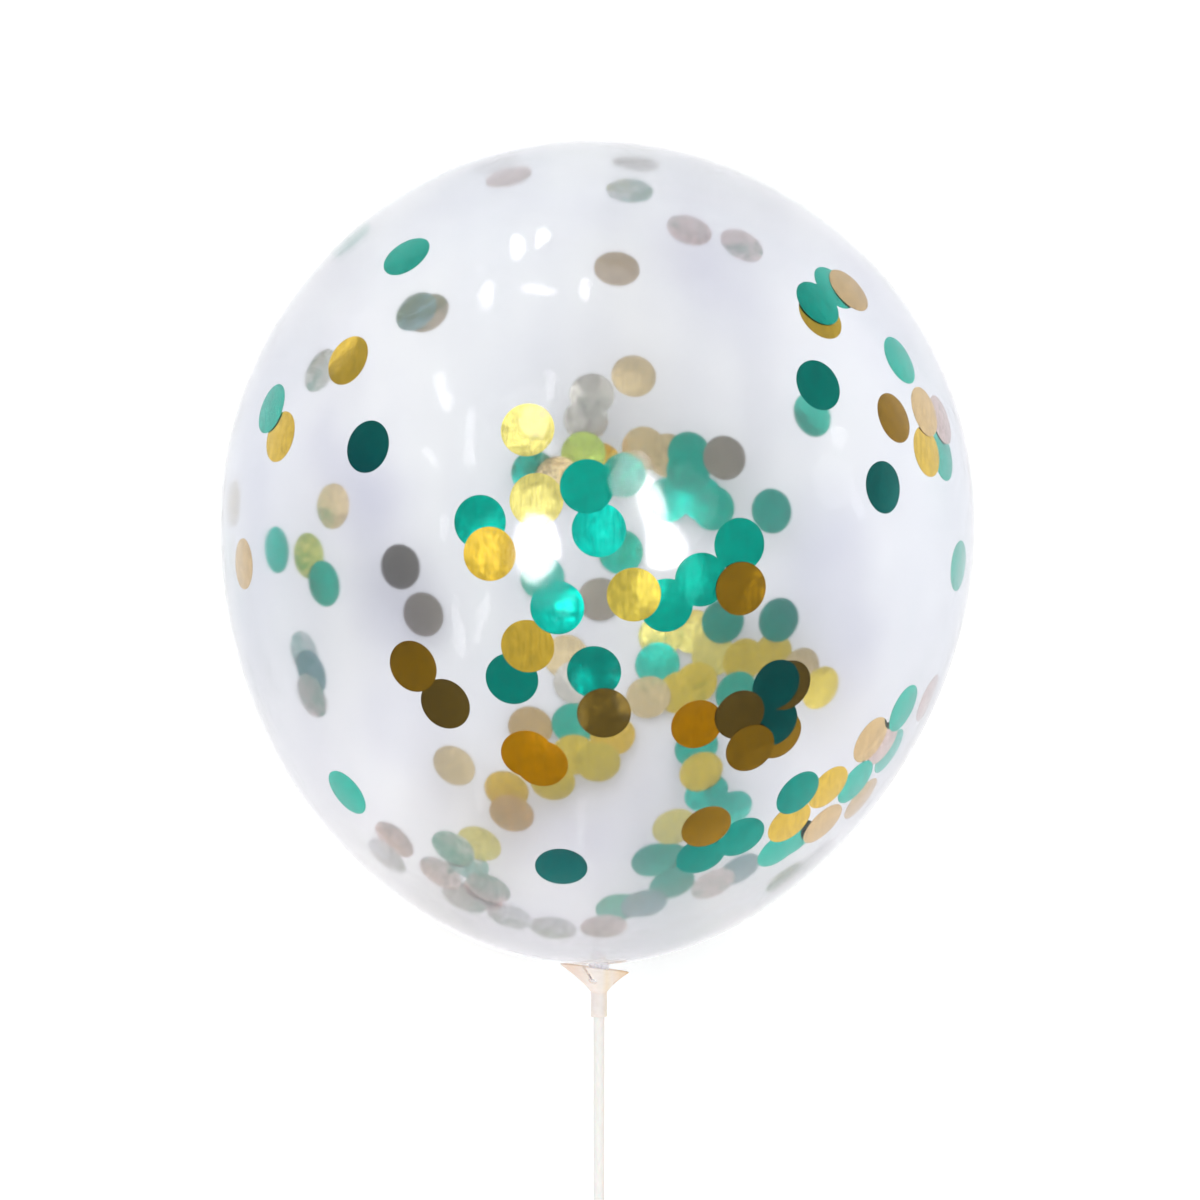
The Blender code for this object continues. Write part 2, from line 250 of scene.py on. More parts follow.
# Painted shade: darker spots in the near wall, each a pixel, a radius in metres and how dark. Before the
# list come the share of that darkness in each colour channel and how far noise shifts their edges, in
# metres.
SHADE_SPOT_CHANNELS = (1.0, 1.0, 0.6)
SHADE_SPOT_WAVER = 0.04
NOISE_MEAN = 0.5
PAINTED_SHADE_SPOTS = (
    ((372, 490), 0.030, 0.17),
    ((392, 600), 0.036, 0.17),
    ((335, 445), 0.022, 0.08),
    ((400, 715), 0.036, 0.08),
    ((832, 565), 0.036, 0.15),
    ((850, 650), 0.030, 0.13),
    ((700, 275), 0.040, 0.11),
    ((715, 800), 0.050, 0.08),
    ((590, 830), 0.050, 0.10),
)


def mean_point(points):
    return sum(points, Vector()) / len(points)


def node_points(name):
    return [vert.co.copy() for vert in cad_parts[name].data.vertices]


def stick_ends():
    """Middles of the stick's far end and of its top end, from the CAD stick's end rings."""
    points = node_points("stick")
    middle = mean_point(points)
    far = mean_point([point for point in points if point.y < middle.y])
    top = mean_point([point for point in points if point.y >= middle.y])
    return far, top


# The part's own axes, read from the frame
STICK_FAR, STICK_TOP = stick_ends()
AXIS = (STICK_TOP - STICK_FAR).normalized()
ACROSS = Vector((1.0, 0.0, 0.0))
UPWARD = ACROSS.cross(AXIS)
CROWN_REACH = max((point - STICK_TOP).dot(AXIS) for point in node_points("balloon"))
CENTRE = STICK_TOP + AXIS * (CROWN_REACH - CROWN_HEIGHT)
CUP_FOOT = min((point - CENTRE).dot(AXIS) for point in node_points("cup"))
SOCKET_TOP = CUP_FOOT + SOCKET_LENGTH


def placed(x, y, height):
    """World point from the part's own frame: x across, y away from the camera, height along the axis."""
    return CENTRE + ACROSS * x - UPWARD * y + AXIS * height


def last_where(test, low, high):
    """The highest value for which the test holds, found by halving."""
    for _ in range(HALVINGS):
        middle = (low + high) / 2
        if test(middle):
            low = middle
        else:
            high = middle
    return low


# The camera


def focal_pixels():
    """Focal length in pixels that shows the balloon as wide as in the photograph."""
    half_angle = math.asin(BALLOON_RADIUS / CAMERA_DISTANCE)
    return BALLOON_PIXELS_WIDE / 2 / math.tan(half_angle)


def camera_place():
    """Above the balloon, where its middle shows at BALLOON_PIXEL."""
    metres = CAMERA_DISTANCE / focal_pixels()
    right = (PHOTO_SIDE / 2 - BALLOON_PIXEL[0]) * metres - BELLY_SHIFT
    up = (BALLOON_PIXEL[1] - PHOTO_SIDE / 2) * metres
    return CENTRE + ACROSS * right + AXIS * up + UPWARD * CAMERA_DISTANCE


def turned_to(across, upright, back):
    """Rotation whose x, y and z axes are these three directions."""
    return Matrix((across, upright, back)).transposed()


def add_camera():
    data = bpy.data.cameras.new("camera")
    data.sensor_width = SENSOR_WIDTH
    data.lens = SENSOR_WIDTH * focal_pixels() / PHOTO_SIDE
    data.clip_start, data.clip_end = CLIP_RANGE
    camera = bpy.data.objects.new("camera", data)
    bpy.context.scene.collection.objects.link(camera)
    camera.matrix_world = Matrix.Translation(camera_place()) @ turned_to(ACROSS, AXIS, UPWARD).to_4x4()
    bpy.context.scene.camera = camera


def pixel_ray(pixel):
    """Start and direction of the camera's ray through a pixel of the photograph."""
    x = (pixel[0] - PHOTO_SIDE / 2) / focal_pixels()
    y = (PHOTO_SIDE / 2 - pixel[1]) / focal_pixels()
    return camera_place(), (ACROSS * x + AXIS * y - UPWARD).normalized()


# Materials


def new_material(name):
    material = bpy.data.materials.new(name)
    material.use_nodes = True
    graph = material.node_tree
    return material, graph.nodes, graph.links, graph.nodes["Principled BSDF"]


def set_inputs(node, values):
    for name, value in values.items():
        node.inputs[name].default_value = value


def node_of(nodes, kind, **settings):
    node = nodes.new(kind)
    for name, value in settings.items():
        setattr(node, name, value)
    return node


def object_coordinates(nodes):
    return nodes.new("ShaderNodeTexCoord").outputs["Object"]


def along(nodes, links, direction, start, end):
    """Share of the way from start to end along a direction, measured from the balloon's centre."""
    offset = node_of(nodes, "ShaderNodeVectorMath", operation="SUBTRACT")
    offset.inputs[1].default_value = CENTRE
    links.new(object_coordinates(nodes), offset.inputs[0])
    dot = node_of(nodes, "ShaderNodeVectorMath", operation="DOT_PRODUCT")
    dot.inputs[1].default_value = direction
    links.new(offset.outputs[0], dot.inputs[0])
    share = node_of(nodes, "ShaderNodeMapRange", clamp=True)
    set_inputs(share, {"From Min": start, "From Max": end})
    links.new(dot.outputs["Value"], share.inputs["Value"])
    return share.outputs["Result"]


def noise(nodes, links, scale, detail=2.0, roughness=0.5, stretch=None):
    """Noise in world metres. Stretch is a factor for each of the three axes."""
    made = nodes.new("ShaderNodeTexNoise")
    set_inputs(made, {"Scale": scale, "Detail": detail, "Roughness": roughness})
    vector = object_coordinates(nodes)
    if stretch:
        mapping = nodes.new("ShaderNodeMapping")
        mapping.inputs["Scale"].default_value = stretch
        links.new(vector, mapping.inputs["Vector"])
        vector = mapping.outputs["Vector"]
    links.new(vector, made.inputs["Vector"])
    return made.outputs["Fac"]


def ramp(nodes, links, factor, stops):
    """Colour ramp from (position, colour) stops."""
    made = nodes.new("ShaderNodeValToRGB")
    points = made.color_ramp.elements
    while len(points) < len(stops):
        points.new(0.5)
    for point, (position, colour) in zip(points, stops):
        point.position = position
        point.color = (*colour, 1.0)
    links.new(factor, made.inputs["Fac"])
    return made.outputs["Color"]


def multiplied(nodes, links, first, second):
    """Product of two colours."""
    made = node_of(nodes, "ShaderNodeMix", data_type="RGBA", blend_type="MULTIPLY")
    made.inputs["Factor"].default_value = 1.0
    links.new(first, made.inputs["A"])
    links.new(second, made.inputs["B"])
    return made.outputs["Result"]


def bump(nodes, links, height, shader, strength, distance):
    """Gives a shader's surface the look of a relief from a height map, over a distance in metres."""
    made = nodes.new("ShaderNodeBump")
    set_inputs(made, {"Strength": strength, "Distance": distance})
    links.new(height, made.inputs["Height"])
    links.new(made.outputs["Normal"], shader.inputs["Normal"])


def with_painted_shade_spots(nodes, links, tree, tint):
    """The tint, with painted shade: darker in the listed soft spots."""
    waver = node_of(nodes, "ShaderNodeTexNoise")
    set_inputs(waver, {"Scale": 14.0, "Detail": 2.0})
    links.new(object_coordinates(nodes), waver.inputs["Vector"])
    shift = node_of(nodes, "ShaderNodeVectorMath", operation="MULTIPLY_ADD")
    shift.inputs[1].default_value = (SHADE_SPOT_WAVER,) * 3
    links.new(waver.outputs["Color"], shift.inputs[0])
    links.new(object_coordinates(nodes), shift.inputs[2])
    offset = Vector((NOISE_MEAN,) * 3) * SHADE_SPOT_WAVER
    for pixel, radius, depth in PAINTED_SHADE_SPOTS:
        distance = node_of(nodes, "ShaderNodeVectorMath", operation="DISTANCE")
        distance.inputs[1].default_value = wall_hits(tree, pixel)[NEAR][0] + offset
        links.new(shift.outputs[0], distance.inputs[0])
        share = node_of(nodes, "ShaderNodeMapRange", clamp=True, interpolation_type="SMOOTHSTEP")
        set_inputs(share, {"From Max": radius})
        links.new(distance.outputs["Value"], share.inputs["Value"])
        dark = tuple(1.0 - depth * channel for channel in SHADE_SPOT_CHANNELS)
        spot = ramp(nodes, links, share.outputs["Result"], [(0.0, dark), (1.0, WHITE)])
        tint = multiplied(nodes, links, tint, spot)
    return tint


def latex_material(tree):
    """Clear stretched latex: faint lavender, hazier at its foot and crown, with cloudy patches.
    Painted light and shade tint it too: lighter and darker bands along and across it, and darker spots.

    A second, rough lobe scatters a share of the light, as the haze of real latex does.
    """
    material, nodes, links, shader = new_material("clear_latex")
    haze = nodes.new("ShaderNodeBsdfPrincipled")
    set_inputs(shader, {"Roughness": 0.08, "IOR": LATEX_IOR, "Transmission Weight": 1.0})
    set_inputs(haze, {"Roughness": 0.7, "IOR": LATEX_IOR, "Transmission Weight": 1.0})
    height = along(nodes, links, AXIS, -BASE_DEPTH, CROWN_HEIGHT)
    # Painted light and shade: lighter and darker bands along the latex and across it, over its own lavender.
    length = ramp(nodes, links, height, LATEX_TINT_AND_SHADE_ALONG)
    breadth = along(nodes, links, ACROSS, -BALLOON_RADIUS, BALLOON_RADIUS)
    side = ramp(nodes, links, breadth, LATEX_TINT_AND_SHADE_ACROSS)
    cloud = ramp(
        nodes,
        links,
        noise(nodes, links, scale=13.0, roughness=0.55),
        [(0.3, (0.95, 0.95, 0.968)), (0.6, WHITE)],
    )
    drawn = ramp(
        nodes,
        links,
        noise(nodes, links, scale=10.0, detail=1.0, stretch=LENGTHWISE),
        [(0.35, (0.965, 0.965, 0.975)), (0.6, WHITE)],
    )
    tint = multiplied(nodes, links, length, cloud)
    tint = multiplied(nodes, links, tint, drawn)
    tint = multiplied(nodes, links, tint, side)
    # Painted shade: darker spots in the near wall.
    tint = with_painted_shade_spots(nodes, links, tree, tint)
    links.new(tint, shader.inputs["Base Color"])
    links.new(tint, haze.inputs["Base Color"])
    ripple = noise(nodes, links, scale=120.0, detail=1.0)
    bump(nodes, links, ripple, shader, strength=0.1, distance=0.001)
    both = nodes.new("ShaderNodeMixShader")
    hazy = ramp(nodes, links, height, [(place, (share, share, share)) for place, share in LATEX_HAZE])
    links.new(hazy, both.inputs["Fac"])
    links.new(shader.outputs["BSDF"], both.inputs[1])
    links.new(haze.outputs["BSDF"], both.inputs[2])
    links.new(both.outputs["Shader"], nodes["Material Output"].inputs["Surface"])
    return material


def gathered_latex_material():
    """Unstretched latex in the neck and knot: milky and slightly yellow.

    Its faint glow stands for the light that the cup lets through to it.
    """
    material, nodes, links, shader = new_material("milky_latex")
    set_inputs(
        shader,
        {
            "Roughness": 0.32,
            "IOR": 1.5,
            "Subsurface Weight": 0.5,
            "Subsurface Scale": 0.003,
            "Emission Color": (0.95, 0.92, 0.9, 1.0),
            "Emission Strength": 0.4,
        },
    )
    folds = ramp(
        nodes,
        links,
        noise(nodes, links, scale=900.0, detail=3.0),
        [(0.3, (0.66, 0.65, 0.6)), (0.7, (0.8, 0.79, 0.75))],
    )
    links.new(folds, shader.inputs["Base Color"])
    wrinkles = noise(nodes, links, scale=1400.0)
    bump(nodes, links, wrinkles, shader, strength=0.3, distance=0.0002)
    return material


def foil_material(name):
    """Metallised film: each disc has its own colour, mostly with its light and shade painted in, and cloudy
    patches and a slight wave.
    """
    material, nodes, links, shader = new_material(name)
    set_inputs(shader, {"Metallic": 1.0})
    # The disc colour holds the painted light and shade of most discs.
    own = node_of(nodes, "ShaderNodeAttribute", attribute_name="disc_colour")
    patches = ramp(
        nodes,
        links,
        noise(nodes, links, scale=300.0, detail=4.0, roughness=0.6),
        [(0.3, (0.84, 0.84, 0.84)), (0.65, WHITE)],
    )
    rolled = ramp(
        nodes,
        links,
        noise(nodes, links, scale=220.0, detail=4.0, roughness=0.65, stretch=LENGTHWISE),
        [(0.35, (0.84, 0.84, 0.84)), (0.6, WHITE)],
    )
    colour = multiplied(nodes, links, own.outputs["Color"], patches)
    colour = multiplied(nodes, links, colour, rolled)
    links.new(colour, shader.inputs["Base Color"])
    rough = node_of(nodes, "ShaderNodeMapRange", clamp=True)
    set_inputs(rough, {"From Min": 0.3, "From Max": 0.7, "To Min": 0.13, "To Max": 0.19})
    links.new(noise(nodes, links, scale=420.0), rough.inputs["Value"])
    links.new(rough.outputs["Result"], shader.inputs["Roughness"])
    wave = noise(nodes, links, scale=90.0)
    bump(nodes, links, wave, shader, strength=0.5, distance=0.0008)
    return material


def cup_material():
    """Soft blush-white plastic that lets some light through.

    Painted light and shade make it lighter in the middle and darker and warmer at its sides, most at the
    right.
    """
    material, nodes, links, shader = new_material("blush_plastic")
    set_inputs(
        shader,
        {
            "Roughness": 0.38,
            "IOR": 1.49,
            "Subsurface Weight": 0.45,
            "Subsurface Scale": 0.004,
            "Subsurface Radius": (1.0, 0.7, 0.5),
        },
    )
    breadth = along(nodes, links, ACROSS, -CUP_TINT_REACH, CUP_TINT_REACH)
    # Painted light and shade: lighter in the middle, darker and warmer at the sides.
    painted_side_shade = ramp(nodes, links, breadth, CUP_TINT_AND_SHADE)
    mottle = ramp(
        nodes,
        links,
        noise(nodes, links, scale=350.0),
        [(0.3, (0.94, 0.93, 0.92)), (0.7, WHITE)],
    )
    links.new(multiplied(nodes, links, painted_side_shade, mottle), shader.inputs["Base Color"])
    grain = noise(nodes, links, scale=2200.0, detail=1.0)
    bump(nodes, links, grain, shader, strength=0.1, distance=0.0001)
    return material


def stick_material():
    """Satin white plastic tube with faint lines along it from extrusion, and painted shade on its right
    side, which is darker and warmer.
    """
    material, nodes, links, shader = new_material("white_plastic")
    set_inputs(
        shader,
        {"IOR": 1.5, "Subsurface Weight": 0.2, "Subsurface Scale": 0.002},
    )
    breadth = along(nodes, links, ACROSS, -STICK_TINT_REACH, STICK_TINT_REACH)
    # Painted shade: the right side darker and warmer.
    tint = ramp(nodes, links, breadth, STICK_TINT_AND_SHADE)
    lines = noise(nodes, links, scale=900.0, detail=1.0, stretch=(1.0, 0.02, 1.0))
    streaks = ramp(nodes, links, lines, [(0.3, (0.94, 0.94, 0.94)), (0.7, WHITE)])
    links.new(multiplied(nodes, links, tint, streaks), shader.inputs["Base Color"])
    rough = node_of(nodes, "ShaderNodeMapRange", clamp=True)
    set_inputs(rough, {"From Min": 0.3, "From Max": 0.7, "To Min": 0.3, "To Max": 0.42})
    links.new(lines, rough.inputs["Value"])
    links.new(rough.outputs["Result"], shader.inputs["Roughness"])
    bump(nodes, links, lines, shader, strength=0.15, distance=0.0001)
    return material


def floor_material():
    """Matt white studio floor, softly lit from within near the middle, as a light table is."""
    material, nodes, links, shader = new_material("studio_floor")
    set_inputs(shader, {"Roughness": 0.7, "Specular IOR Level": 0.2, "Emission Color": (1.0, 1.0, 1.0, 1.0)})
    tone = ramp(
        nodes,
        links,
        noise(nodes, links, scale=3.0),
        [(0.3, (0.86, 0.86, 0.865)), (0.7, (0.88, 0.88, 0.88))],
    )
    links.new(tone, shader.inputs["Base Color"])
    distance = node_of(nodes, "ShaderNodeVectorMath", operation="DISTANCE")
    distance.inputs[1].default_value = GLOW_CENTRE
    links.new(object_coordinates(nodes), distance.inputs[0])
    glow = node_of(nodes, "ShaderNodeMapRange", clamp=True, interpolation_type="SMOOTHSTEP")
    set_inputs(
        glow,
        {
            "From Min": GLOW_RADIUS[0],
            "From Max": GLOW_RADIUS[1],
            "To Min": FLOOR_GLOW[0],
            "To Max": FLOOR_GLOW[1],
        },
    )
    links.new(distance.outputs["Value"], glow.inputs["Value"])
    links.new(glow.outputs["Result"], shader.inputs["Emission Strength"])
    return material


# Meshes


def object_from(bm, name, material):
    bmesh.ops.recalc_face_normals(bm, faces=bm.faces)
    mesh = bpy.data.meshes.new(name)
    bm.to_mesh(mesh)
    bm.free()
    mesh.materials.append(material)
    mesh.shade_smooth()
    mesh.set_sharp_from_angle(angle=math.radians(SMOOTH_BELOW_DEG))
    made = bpy.data.objects.new(name, mesh)
    bpy.context.scene.collection.objects.link(made)
    return made


# The latex skin


def base_point(angle):
    """(radius, height) on the lower half, from 0 at the widest ring to a right angle at its foot."""
    sine = math.sin(angle)
    return BALLOON_RADIUS * math.cos(angle) * (1 - PEAR_SHARE * sine * sine), -BASE_DEPTH * sine


def knot_middle():
    return SOCKET_TOP + KNOT_HEIGHT


def skin_section():
    """(radius, height) points from just off the crown down to the neck and on to the knot."""
    fillet_edge = NECK_RADIUS + NECK_FILLET
    last = last_where(lambda angle: base_point(angle)[0] > fillet_edge, 0.0, math.pi / 2)
    section = []
    for step in range(1, CROWN_RINGS + 1):
        angle = math.pi / 2 * step / CROWN_RINGS
        section.append((BALLOON_RADIUS * math.sin(angle), CROWN_HEIGHT * math.cos(angle)))
    for step in range(1, BASE_RINGS + 1):
        section.append(base_point(last * step / BASE_RINGS))
    foot = section[-1][1]
    for step in range(1, FILLET_RINGS + 1):
        angle = math.pi / 2 * step / FILLET_RINGS
        radius = NECK_RADIUS + NECK_FILLET * (1 - math.sin(angle))
        section.append((radius, foot - NECK_FILLET * (1 - math.cos(angle))))
    neck_top = foot - NECK_FILLET
    for step in range(1, NECK_RINGS + 1):
        section.append((NECK_RADIUS, neck_top + (knot_middle() - neck_top) * step / NECK_RINGS))
    return section


def lean_at(radius, height):
    """How far the belly stands to the left of the stick's axis. It fades out at the neck."""
    if height >= 0:
        return BELLY_SHIFT + CROWN_LEAN * (height / CROWN_HEIGHT) ** LEAN_POWER
    lean = BELLY_SHIFT + BASE_LEAN * math.sin(math.pi / 2 * height / BASE_DEPTH) ** 2
    fade = (radius - NECK_RADIUS) / (LEAN_FADE_RADIUS - NECK_RADIUS)
    return lean * min(1.0, max(0.0, fade))


def pleated(radius, height, turn):
    """The radius with the small pleats that gather the latex towards its neck."""
    if height > 0:
        return radius
    depth = PLEAT_DEPTH * math.exp((NECK_RADIUS - radius) / PLEAT_REACH)
    return radius - depth * (1 + math.cos(PLEAT_COUNT * turn)) / 2


def skin_point(radius, height, turn):
    """Point of the outer skin, which lies flat where it meets the floor."""
    lean = lean_at(radius, height)
    radius = pleated(radius, height, turn)
    point = placed(radius * math.cos(turn) - lean, radius * math.sin(turn), height)
    point.z = (point.z + math.hypot(point.z, FLAT_SPOT_EASE)) / 2
    return point


def skin_bmesh():
    """The outer skin as an open sheet, from the crown to the neck."""
    bm = bmesh.new()
    crown = bm.verts.new(skin_point(0.0, CROWN_HEIGHT, 0.0))
    rings = []
    for radius, height in skin_section():
        turns = [2 * math.pi * step / SKIN_SEGMENTS for step in range(SKIN_SEGMENTS)]
        rings.append([bm.verts.new(skin_point(radius, height, turn)) for turn in turns])
    for step in range(SKIN_SEGMENTS):
        bm.faces.new((crown, rings[0][step - 1], rings[0][step]))
        for upper, lower in zip(rings, rings[1:]):
            bm.faces.new((upper[step - 1], lower[step - 1], lower[step], upper[step]))
    bm.normal_update()
    return bm


def add_skin(material):
    """The skin with its thin wall. It casts no shadow, as such thin clear latex casts almost none."""
    skin = object_from(skin_bmesh(), "latex_skin", material)
    wall = skin.modifiers.new("wall", "SOLIDIFY")
    wall.thickness = SKIN_WALL
    wall.offset = -1.0
    skin.visible_shadow = False
    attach(skin, "root")
    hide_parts("balloon")
    return skin


def skin_tree():
    """The outer skin for ray tests. Its faces point out."""
    bm = skin_bmesh()
    bmesh.ops.recalc_face_normals(bm, faces=bm.faces)
    tree = BVHTree.FromBMesh(bm)
    bm.free()
    return tree


# The knot


def knot_section():
    """(radius, height) points of the tied latex: a plug in the neck, the knot and its tail."""
    middle = knot_middle()
    plug_radius = NECK_RADIUS - 2 * SKIN_WALL - PLEAT_DEPTH
    knot_radius = NECK_RADIUS + KNOT_BULGE
    tail_end = SOCKET_TOP + TAIL_END_HEIGHT
    plug_top = middle + PLUG_HEIGHT
    section = []
    for step in range(1, KNOT_RINGS + 1):
        angle = math.pi / 2 * step / KNOT_RINGS
        section.append((plug_radius * math.sin(angle), plug_top - plug_radius * (1 - math.cos(angle)) / 2))
    for step in range(KNOT_RINGS + 1):
        angle = math.radians(KNOT_TOP_DEG) - math.radians(KNOT_ARC_DEG) * step / KNOT_RINGS
        section.append((knot_radius * math.cos(angle), middle + KNOT_HALF_HEIGHT * math.sin(angle)))
    waist = section[-1][1]
    for step in range(1, KNOT_RINGS + 1):
        share = step / KNOT_RINGS
        lip = TAIL_LIP * math.exp(-(((share - LIP_PLACE) / LIP_SPREAD) ** 2))
        section.append((TAIL_RADIUS - TAIL_LIP + lip, waist + (tail_end - waist) * share))
    return section


def add_knot(material):
    """The tied end of the latex, with folds that wind round the knot."""
    bm = bmesh.new()
    rings = []
    section = knot_section()
    for radius, height in section:
        ring = []
        for step in range(KNOT_SEGMENTS):
            turn = 2 * math.pi * step / KNOT_SEGMENTS
            wound = FOLD_COUNT * turn + FOLD_TWIST * (height - knot_middle()) / KNOT_HALF_HEIGHT
            folded = radius * (1 - FOLD_SHARE * (1 + math.cos(wound)) / 2)
            ring.append(bm.verts.new(placed(folded * math.cos(turn), folded * math.sin(turn), height)))
        rings.append(ring)
    top = bm.verts.new(placed(0.0, 0.0, section[0][1]))
    foot = bm.verts.new(placed(0.0, 0.0, section[-1][1]))
    for step in range(KNOT_SEGMENTS):
        bm.faces.new((top, rings[0][step - 1], rings[0][step]))
        bm.faces.new((foot, rings[-1][step], rings[-1][step - 1]))
        for upper, lower in zip(rings, rings[1:]):
            bm.faces.new((upper[step - 1], lower[step - 1], lower[step], upper[step]))
    knot = object_from(bm, "neck_knot", material)
    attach(knot, "root")
    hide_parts("balloon")


# The confetti


def wall_hits(tree, pixel):
    """(point, normal) where the camera's ray through a pixel meets the near wall and the far wall."""
    start, ray = pixel_ray(pixel)
    near_point, near_normal, _, near_distance = tree.ray_cast(start, ray)
    far_point, far_normal, _, _ = tree.ray_cast(start + ray * (near_distance + RAY_RESTART), ray)
    return (near_point, near_normal), (far_point, far_normal)


def disc_layer(place, earlier):
    """How many discs this one lies on."""
    under = [layer for other, layer in earlier if (other - place).length < 2 * DISC_RADIUS]
    return max(under) + 1 if under else 0


def add_disc(bm, colour_layer, place, normal, start, curls, colour):
    """One thin round foil, curled along and across a direction that start turns round its normal."""
    side = Matrix.Rotation(start, 3, normal) @ normal.orthogonal().normalized()
    other = normal.cross(side)
    faces = []
    rings = {}
    for level in (0, 1):
        lift = (0.5 - level) * DISC_THICKNESS
        rings[level] = [[bm.verts.new(place + normal * lift)]]
        for ring in range(1, DISC_RINGS + 1):
            radius = DISC_RADIUS * ring / DISC_RINGS
            points = []
            for step in range(DISC_SEGMENTS):
                turn = 2 * math.pi * step / DISC_SEGMENTS
                x, y = radius * math.cos(turn), radius * math.sin(turn)
                sag = (curls[0] * x * x + curls[1] * y * y) / (2 * BALLOON_RADIUS)
                points.append(bm.verts.new(place + side * x + other * y + normal * (lift - sag)))
            rings[level].append(points)
    for step in range(DISC_SEGMENTS):
        for level in (0, 1):
            centre, inner = rings[level][0][0], rings[level][1]
            faces.append(bm.faces.new((centre, inner[step - 1], inner[step])))
            for small, large in zip(rings[level][1:], rings[level][2:]):
                faces.append(bm.faces.new((small[step - 1], large[step - 1], large[step], small[step])))
        top, foot = rings[0][-1], rings[1][-1]
        faces.append(bm.faces.new((top[step - 1], foot[step - 1], foot[step], top[step])))
    for face in faces:
        for vert in face.verts:
            vert[colour_layer] = colour


def tilted(normal, degrees, draws):
    """The normal, turned by up to so many degrees in a random direction."""
    side = normal.orthogonal().normalized()
    axis = Matrix.Rotation(draws.uniform(0.0, 2 * math.pi), 3, normal) @ side
    return Matrix.Rotation(math.radians(draws.uniform(0.0, degrees)), 3, axis) @ normal


def place_discs(tree, discs, wall, draws, sheets):
    """Lays the discs of one wall on the inside of the skin, the first ones outermost."""
    spots = [wall_hits(tree, (x, y))[wall] for _, x, y in discs]
    laid = []
    for (foil, _, _), (point, normal) in zip(discs, spots):
        layer = disc_layer(point, laid)
        laid.append((point, layer))
        near = [other for other, _ in spots if (other - point).length < 2 * DISC_RADIUS]
        alone = len(near) == 1
        limit = LOOSE_TILT_DEG if alone else STACKED_TILT_DEG
        curl_range = LOOSE_CURL if alone else STACKED_CURL
        curls = (draws.uniform(*curl_range), draws.uniform(*curl_range))
        start = draws.uniform(0.0, math.pi)
        flatness = max(0.0, 1.0 - min(curls)) * DISC_RADIUS * DISC_RADIUS / (2 * BALLOON_RADIUS)
        lifted = math.sin(math.radians(limit)) * DISC_RADIUS + flatness
        depth = SKIN_WALL + SKIN_GAP + lifted + layer * LAYER_STEP
        facing = tilted(normal, limit, draws)
        family, colour = FOILS[foil]
        bm, colour_layer = sheets[family]
        shade = draws.uniform(*DISC_SHADE)
        shaded = (*(shade * channel for channel in colour), 1.0)
        add_disc(bm, colour_layer, point - normal * depth, facing, start, curls, shaded)


def add_confetti(tree):
    sheets = {}
    for family in ("teal", "gold"):
        bm = bmesh.new()
        sheets[family] = (bm, bm.verts.layers.float_color.new("disc_colour"))
    draws = random.Random(DISC_SEED)
    place_discs(tree, NEAR_DISCS, NEAR, draws, sheets)
    place_discs(tree, FAR_DISCS, FAR, draws, sheets)
    for family, (bm, _) in sheets.items():
        piece = object_from(bm, f"foil_{family}", foil_material(f"{family}_foil"))
        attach(piece, "root")


# Floor and light

# The floor's glow has one strength within the first radius and another one beyond the second
FLOOR_HALF = 6.0
GLOW_CENTRE = (0.0, 0.17, 0.0)
GLOW_RADIUS = (0.44, 1.3)
FLOOR_GLOW = (0.265, 0.03)
FLOOR_DROP = 0.0002
FILL_SIZE = (2.4, 2.4)
FILL_PLACE = (0.0, 0.1, 2.6)
FILL_RADIANCE = 1.9
LIGHT_DISTANCE = 1.5

# Colours of the studio round the scene, from level, at 0, to straight up, at 1
SKY_TINT = (
    (0.0, (0.62, 0.62, 0.63)),
    (0.3, (0.62, 0.62, 0.63)),
    (0.6, (0.7, 0.7, 0.7)),
    (1.0, (0.94, 0.93, 0.91)),
)

# A ray that hasn't gone into the latex yet has a transmission depth below this
OUTSIDE_DEPTH = 0.5

# Pixels to each side of a place over which a wall's slope is taken, to even out its facets
SLOPE_STEP = 24

# Lamps that the outer face of the near wall mirrors: pixel, width and height in pixels, turn in degrees,
# radiance
WALL_LAMPS = (
    ((540, 548), (42, 68), 0.0, 280.0),
    ((649, 506), (25, 54), -14.0, 260.0),
    ((661, 546), (40, 46), 0.0, 280.0),
    ((668, 505), (90, 84), 0.0, 9.0),
    ((632, 482), (44, 50), 0.0, 60.0),
    ((544, 556), (66, 100), 0.0, 8.0),
    ((539, 425), (28, 34), 20.0, 40.0),
    ((533, 408), (46, 28), 10.0, 8.0),
    ((823, 482), (40, 54), -10.0, 7.0),
    ((521, 258), (14, 28), 0.0, 60.0),
    ((544, 250), (10, 24), 8.0, 60.0),
    ((492, 306), (14, 30), 8.0, 46.0),
    ((543, 300), (32, 12), 33.0, 56.0),
    ((586, 300), (10, 22), 0.0, 60.0),
    ((451, 397), (12, 40), -18.0, 50.0),
    ((438, 460), (7, 25), -28.0, 50.0),
    ((476, 442), (11, 64), 0.0, 34.0),
    ((553, 393), (9, 32), 0.0, 36.0),
    ((552, 453), (8, 26), 42.0, 46.0),
    ((451, 528), (5, 30), 0.0, 36.0),
    ((465, 625), (7, 70), -6.0, 40.0),
    ((488, 614), (7, 60), 14.0, 38.0),
    ((828, 439), (14, 24), 10.0, 18.0),
    ((846, 505), (8, 30), -25.0, 16.0),
    ((485, 782), (10, 46), 5.0, 11.0),
    ((581, 811), (9, 56), 3.0, 11.0),
    ((509, 845), (5, 34), -6.0, 15.0),
    ((471, 876), (9, 16), 0.0, 26.0),
)

